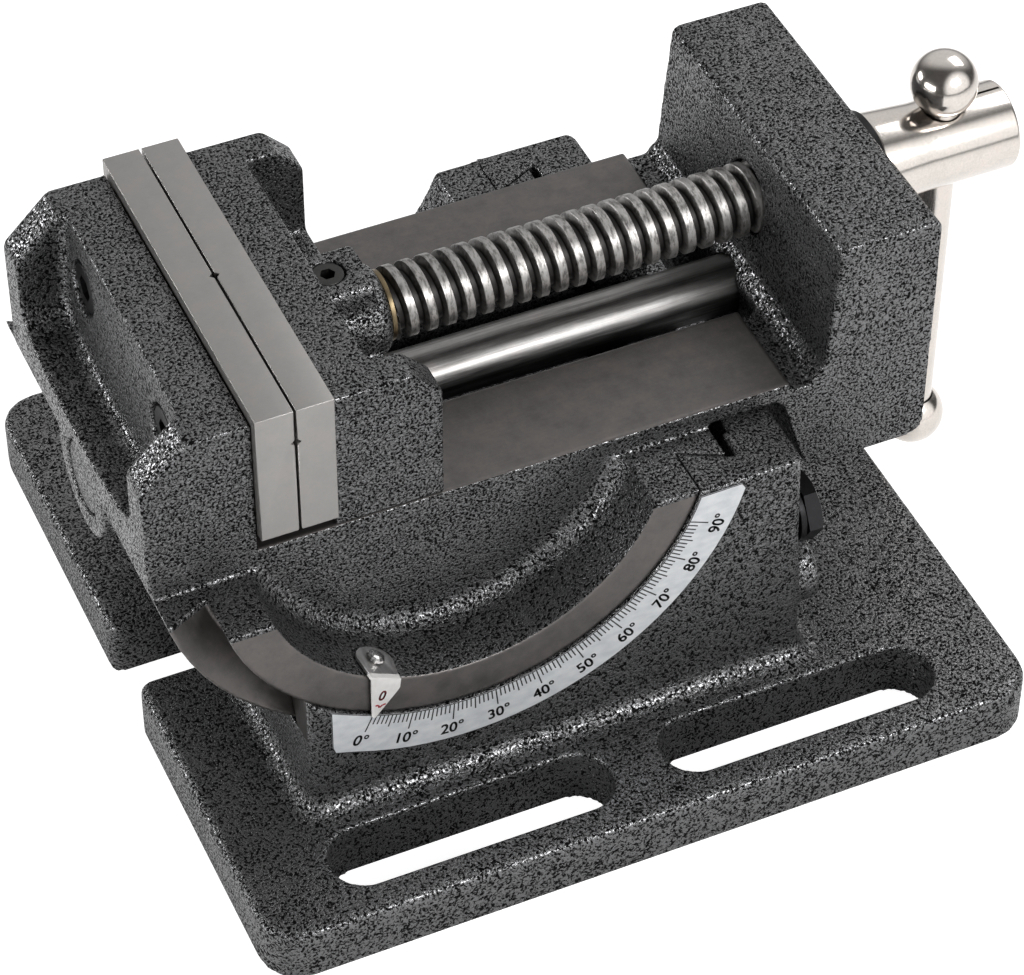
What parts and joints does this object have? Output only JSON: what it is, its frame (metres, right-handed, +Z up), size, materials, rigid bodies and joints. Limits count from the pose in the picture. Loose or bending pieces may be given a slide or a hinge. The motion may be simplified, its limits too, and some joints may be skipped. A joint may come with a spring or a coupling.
{
  "type": "tilting drill press vise",
  "caption": "Machine vise whose body swings from flat to upright in a slotted base with an angle scale, with a screw-driven moving jaw and a sliding handle.",
  "frame": {"origin": "middle of the base's underside, on the machine table that the vise stands on", "axes": "+X along the lead screw from the fixed jaw towards the handle, +Y away from the side with the angle scale, +Z up; at rest the vise is closed and lies flat (0 degrees)"},
  "size_m": [0.2472, 0.2026, 0.1359],
  "materials": {
    "casting_paint": "hammertone paint on grey iron",
    "scale_label": "satin with black print",
    "black_steel": "black oxide",
    "ground_steel": "surface ground",
    "turned_steel": "turned, lightly oiled",
    "pointer_paint": "white paint",
    "bronze": "turned bronze",
    "nickel_plate": "polished nickel plate"
  },
  "bodies": {
    "base": {"base_casting": "casting_paint", "angle_scale": "scale_label", "lock_washer_front": "black_steel", "lock_washer_rear": "black_steel"},
    "lock_front": {"lock_bolt_front": "black_steel"},
    "lock_rear": {"lock_bolt_rear": "black_steel"},
    "vise_body": {"vise_body": "casting_paint", "fixed_jaw_plate": "ground_steel", "fixed_plate_screw_front": "black_steel", "fixed_plate_screw_rear": "black_steel", "guide_rod": "turned_steel", "angle_pointer": "pointer_paint", "pointer_rivet": "turned_steel"},
    "moving_jaw": {"moving_jaw": "casting_paint", "moving_jaw_plate": "ground_steel", "moving_plate_screw_front": "black_steel", "moving_plate_screw_rear": "black_steel", "retaining_screw": "black_steel", "thrust_ring": "bronze"},
    "spindle": {"lead_screw": "turned_steel", "screw_collar": "black_steel", "screw_head": "nickel_plate"},
    "handle": {"handle_bar": "nickel_plate", "handle_ball_top": "nickel_plate", "handle_ball_bottom": "nickel_plate"}
  },
  "joints": [
    {"name": "body_tilt", "type": "hinge", "parent": "base", "child": "vise_body", "pos_m": [-0.0368, 0, 0.1015], "axis": [0, -1, 0], "range_deg": [0, 90]},
    {"name": "jaw_slide", "type": "slide", "parent": "vise_body", "child": "moving_jaw", "axis": [1, 0, 0], "range_m": [0, 0.094]},
    {"name": "screw_turn", "type": "hinge", "parent": "moving_jaw", "child": "spindle", "pos_m": [0, 0, 0.1087], "axis": [1, 0, 0], "range_deg": [0, 6907]},
    {"name": "handle_slide", "type": "slide", "parent": "spindle", "child": "handle", "axis": [0, 0, 1], "range_m": [0, 0.075]},
    {"name": "front_lock_turn", "type": "hinge", "parent": "base", "child": "lock_front", "pos_m": [0.05, -0.0581, 0.0592], "axis": [1, 0, 0], "range_deg": [0, 180]},
    {"name": "rear_lock_turn", "type": "hinge", "parent": "base", "child": "lock_rear", "pos_m": [0.05, 0.0581, 0.0592], "axis": [1, 0, 0], "range_deg": [0, 180]}
  ],
  "couplings": [
    {"joint": "screw_turn", "follows": "jaw_slide", "rad_per_m": 1282.3}
  ]
}
